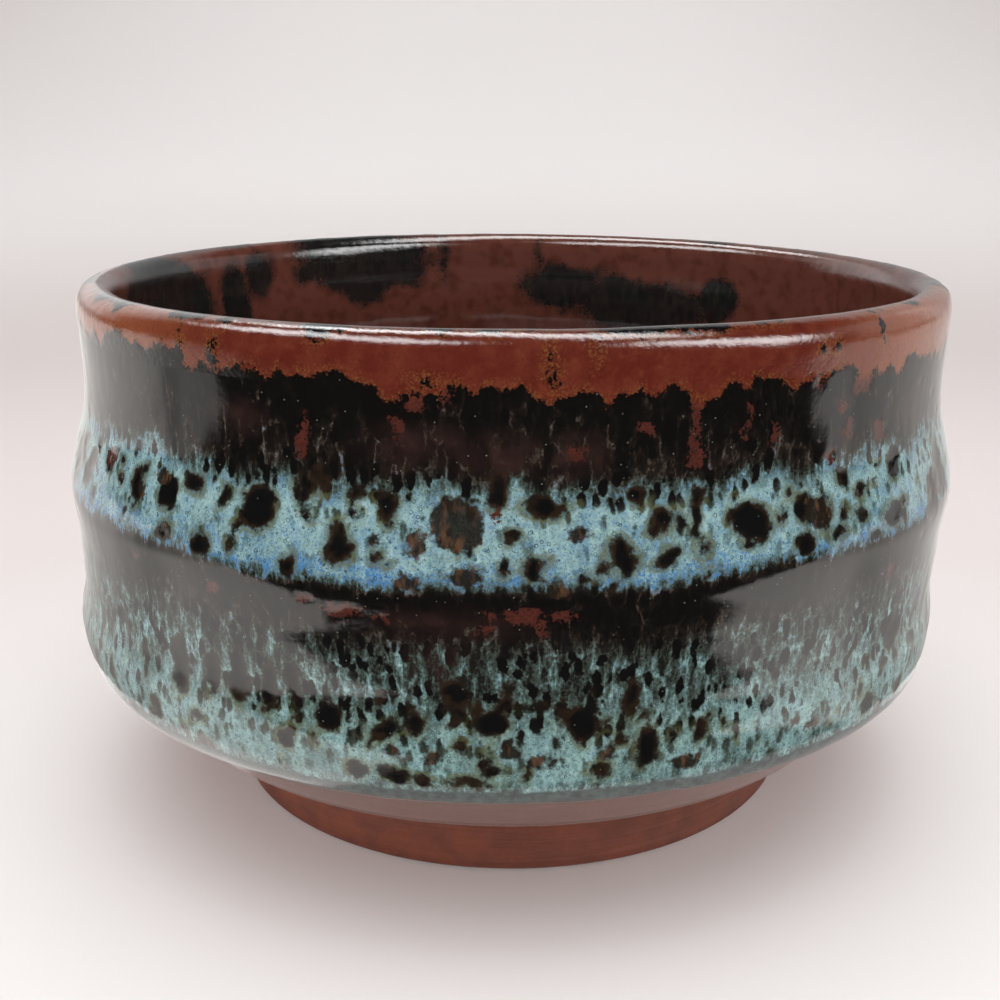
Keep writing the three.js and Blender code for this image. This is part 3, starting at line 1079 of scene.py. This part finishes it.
def lit_table():
    """The lit table as the glaze mirrors it: bright, with a dark gap in front of the bowl and under it."""
    g = Graph("lit_table")
    split = g.add("SeparateXYZ", Vector=g.place)
    x, y = split.outputs["X"], split.outputs["Y"]
    aside = g.math("ABSOLUTE", x)
    left = g.times(x, -1.0)
    from_bowl = g.math("SQRT", g.math("ADD", g.times(x, x), g.times(y, y)))

    # how bright: most in front of the bowl, least in its shade, and its own amount far out on each side
    shade = g.step(from_bowl, 70.0, 150.0, 0.45, 1.0)
    glow = g.step(y, -45.0, -20.0, 1.4, shade)
    far_left = g.step(y, -20.0, 40.0, 0.5, 1.15)
    far_right = g.step(y, -20.0, 40.0, 0.7, 0.8)
    far = g.step(x, -1.0, 1.0, far_left, far_right)
    glow = g.times(glow, g.step(aside, 150.0, 200.0, 1.0, far))

    # where it stops: at a front edge, nearer on the right, and at the gap before the bowl
    far_front_edge = g.step(x, -1.0, 1.0, -102.0, -86.0)
    front_edge = g.step(aside, 150.0, 200.0, -99.0, far_front_edge)
    in_front = g.step(g.math("SUBTRACT", y, front_edge), -1.5, 1.5)
    gap_left = g.step(y, -50.0, -35.0, 30.0, 40.0)
    beside = g.math("MAXIMUM", g.step(x, 70.0, 77.0), g.step(g.math("SUBTRACT", left, gap_left), -3.0, 3.0))
    beside = g.math("MAXIMUM", beside, g.step(y, 75.0, 105.0))
    glow = g.times(glow, g.times(in_front, beside))
    lamp = g.add("Emission", Strength=glow, Color=(1.0, 0.95, 0.91, 1))
    both = g.add("AddShader")
    g.links.new(lamp.outputs[0], both.inputs[0])
    g.links.new(g.add("BsdfTransparent").outputs[0], both.inputs[1])
    g.links.new(both.outputs[0], g.nodes["Material Output"].inputs["Surface"])
    g.nodes.remove(g.surface)

    corners = [(-1.0, -0.3), (1.0, -0.3), (1.0, 1.0), (-1.0, 1.0)]
    mesh = bpy.data.meshes.new("lit_table")
    mesh.from_pydata([(x, y, TABLE_SHEEN_HEIGHT) for x, y in corners], [], [(0, 1, 2, 3)])
    mesh.materials.append(g.material)
    sheen = bpy.data.objects.new("lit_table", mesh)
    bpy.context.scene.collection.objects.link(sheen)
    sheen.visible_camera = False
    sheen.visible_diffuse = False
    sheen.visible_shadow = False
    sheen.visible_transmission = False


def studio_light():
    """An even sky and soft lights that the gloss doesn't show, and walls and windows that only it shows."""
    world = bpy.data.worlds.new("studio_world")
    bpy.context.scene.world = world
    world.use_nodes = True
    sky = world.node_tree.nodes["Background"]
    sky.inputs["Color"].default_value = (1.0, 0.98, 0.975, 1)
    sky.inputs["Strength"].default_value = WORLD_STRENGTH
    world.cycles_visibility.glossy = False
    lit_table()
    area_light("backdrop", (0.0, 1.0, 0.5), (0, 0, 0.5), (2.6, 1.0), 0.5, diffuse=False)
    area_light("wall_left", (-0.58, 0.69, 0.42), BOWL_MIDDLE, (0.8, 0.66), 0.7, diffuse=False)
    area_light("wall_right", (0.83, 0.34, 0.3), BOWL_MIDDLE, (0.7, 0.5), 0.5, diffuse=False)
    window("window_left", (-0.40, 0.12, 0.50), (-0.15, -0.38, 0.52), 0.16)
    window("window_right", (0.25, -0.36, 0.44), (0.55, -0.18, 0.20), 0.16)
    window("window_above", (-0.28, 0.47, 0.54), (0.34, -0.20, 0.80), 0.18)
    soft_light("soft_above", (0.0, 0.1, 1.2), BOWL_MIDDLE, (0.9, 0.9), 0.6)
    soft_light("soft_front", (0.0, -0.9, 0.34), BOWL_FOOT, (1.4, 0.5), 1.3)
    soft_light("soft_left", (-1.0, 0.0, 0.36), BOWL_FOOT, (1.2, 0.55), 1.15)
    soft_light("soft_right", (1.0, 0.0, 0.36), BOWL_FOOT, (1.2, 0.55), 1.15)


def camera():
    """A viewpoint close to the bowl, looking down on it a little."""
    lens = bpy.data.cameras.new("camera")
    lens.sensor_width = 36.0
    lens.lens = FOCAL_LENGTH
    holder = bpy.data.objects.new("camera", lens)
    bpy.context.scene.collection.objects.link(holder)
    lip_top = cad_high[2]
    holder.location = (CAMERA_ASIDE * MM, -CAMERA_AWAY * MM, lip_top + CAMERA_ABOVE_LIP * MM)
    holder.rotation_euler = (math.radians(90 - CAMERA_TILT), math.radians(CAMERA_ROLL), 0)
    bpy.context.scene.camera = holder


camera()
glaze_coats()
base_glaze_coat()
foot_ring()
clay_bowl()
studio_floor()
studio_light()
bpy.context.scene.view_settings.view_transform = "Standard"
